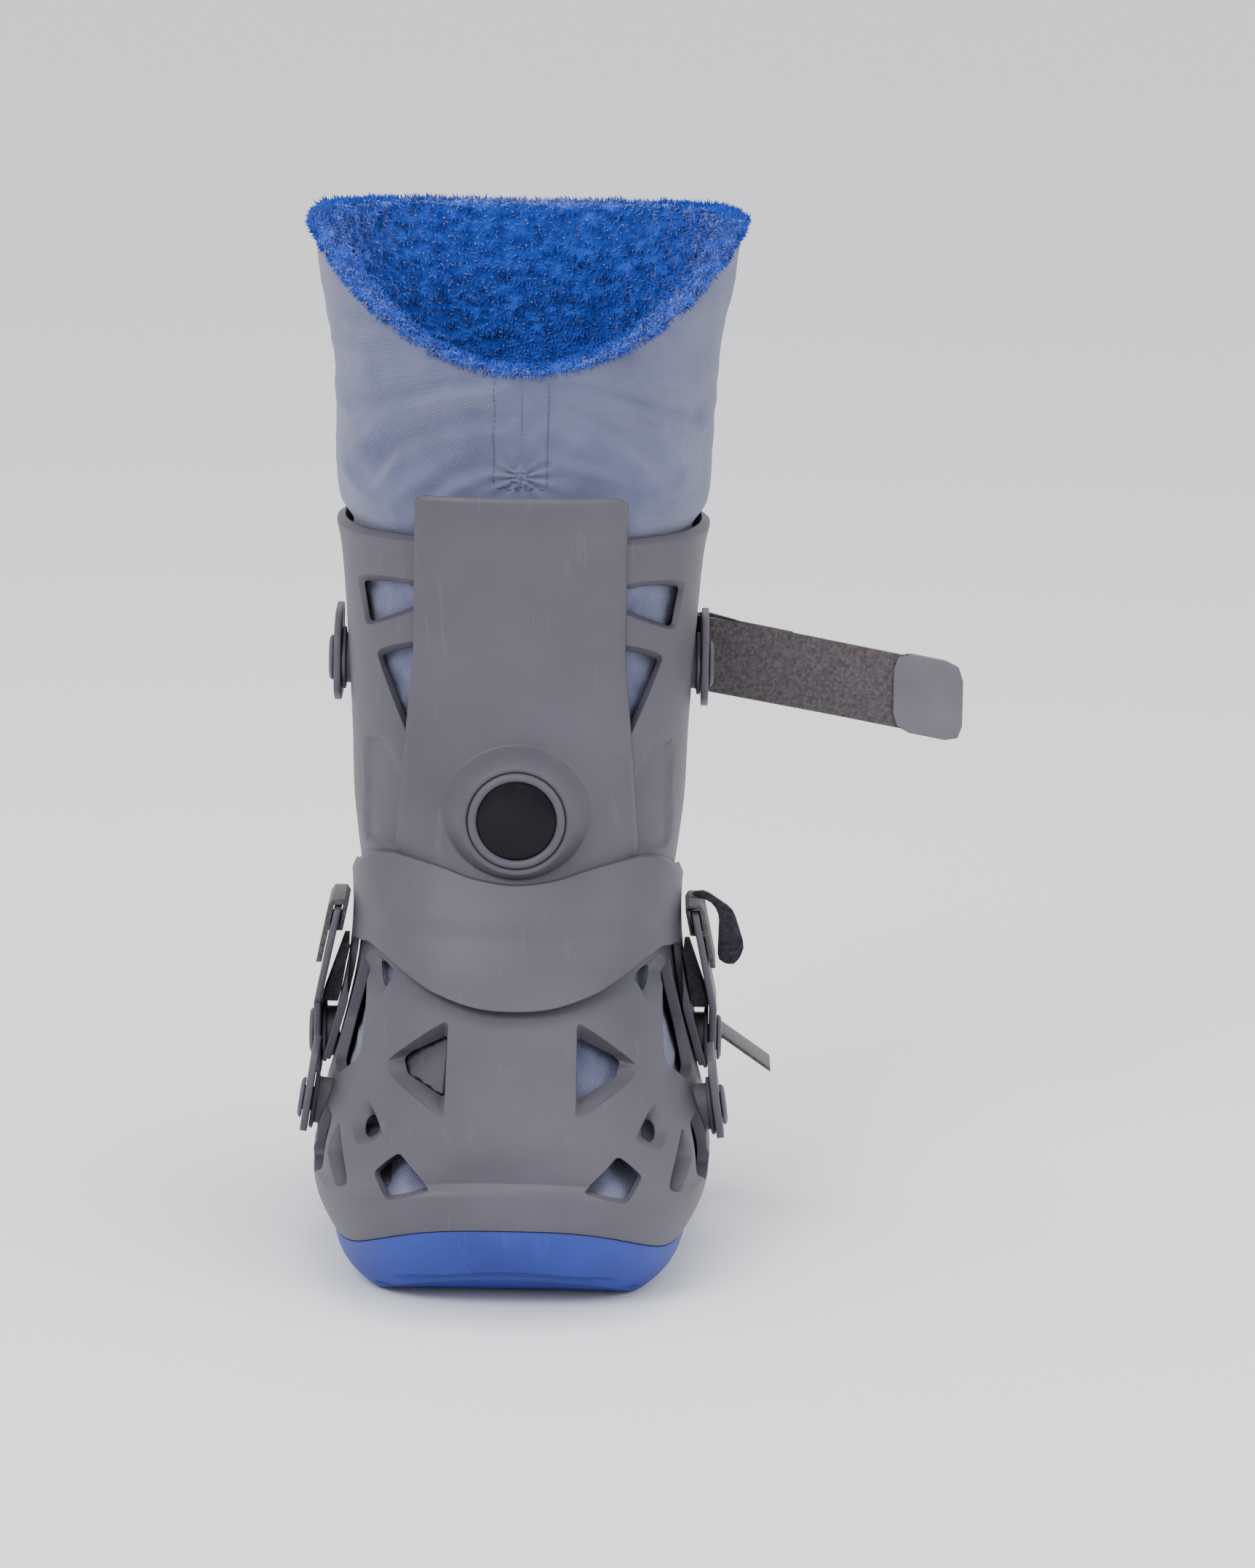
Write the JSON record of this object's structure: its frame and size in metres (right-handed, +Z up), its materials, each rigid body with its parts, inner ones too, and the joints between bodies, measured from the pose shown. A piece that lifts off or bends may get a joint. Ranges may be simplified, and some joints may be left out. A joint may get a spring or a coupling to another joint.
{
  "type": "medical walking boot",
  "caption": "Short walking boot with a pierced plastic shell, rocker sole, shin plate and fleece-lined cloth liner, for an injured foot or ankle.",
  "frame": {"origin": "on the flat of the tread, on the boot's middle plane, under the leg's axis", "axes": "+Z up along the leg, -Y towards the toe, +X towards the side with the loose calf strap"},
  "size_m": [0.2622, 0.2787, 0.3969],
  "materials": {
    "sole_rubber": "satin",
    "shell_plastic": "matte",
    "badge_gloss": "glossy",
    "cover_cloth": "matte",
    "fleece": "matte",
    "black_plastic": "matte",
    "strap_webbing": "matte",
    "tab_plastic": "satin",
    "hook_tape": "matte"
  },
  "bodies": {
    "boot": {"outsole": "sole_rubber", "foot_shell": "shell_plastic", "cuff_shell": "shell_plastic", "instep_shield": "shell_plastic", "shin_plate": "shell_plastic", "badge_bezel": "shell_plastic", "badge_disc": "badge_gloss", "liner_cover": "cover_cloth", "liner_fleece": "fleece", "valve_cap": "black_plastic", "ankle_strap_loop_left": "strap_webbing", "ankle_strap_loop_right": "strap_webbing", "ankle_strap_tab": "hook_tape", "ankle_strap_end": "strap_webbing", "ankle_hook_pad_left": "hook_tape", "ankle_hook_pad_right": "hook_tape", "calf_stud_left": "shell_plastic", "calf_stud_right": "shell_plastic", "ankle_stud_left": "shell_plastic", "ankle_anchor_left": "shell_plastic", "ankle_stud_right": "shell_plastic", "ankle_anchor_right": "shell_plastic", "foot_stud_left": "shell_plastic", "foot_stud_right": "shell_plastic"},
    "calf_swivel_left": {"calf_anchor_left": "shell_plastic"},
    "calf_swivel_right": {"calf_anchor_right": "shell_plastic", "calf_strap": "strap_webbing", "calf_strap_tab": "tab_plastic"},
    "foot_swivel_left": {"foot_anchor_left": "shell_plastic"},
    "foot_swivel_right": {"foot_anchor_right": "shell_plastic"}
  },
  "joints": [
    {"name": "calf_anchor_left_turn", "type": "hinge", "parent": "boot", "child": "calf_swivel_left", "pos_m": [-0.0682, 0, 0.2175], "axis": [-1, 0, 0], "range_deg": [-40, 40]},
    {"name": "calf_anchor_right_turn", "type": "hinge", "parent": "boot", "child": "calf_swivel_right", "pos_m": [0.0682, 0, 0.2175], "axis": [1, 0, 0], "range_deg": [-35, 15]},
    {"name": "foot_anchor_left_turn", "type": "hinge", "parent": "boot", "child": "foot_swivel_left", "pos_m": [-0.07333, -0.07, 0.053], "axis": [-0.9903, 0, 0.1392], "range_deg": [-35, 35]},
    {"name": "foot_anchor_right_turn", "type": "hinge", "parent": "boot", "child": "foot_swivel_right", "pos_m": [0.07333, -0.07, 0.053], "axis": [0.9903, 0, 0.1392], "range_deg": [-35, 35]}
  ]
}
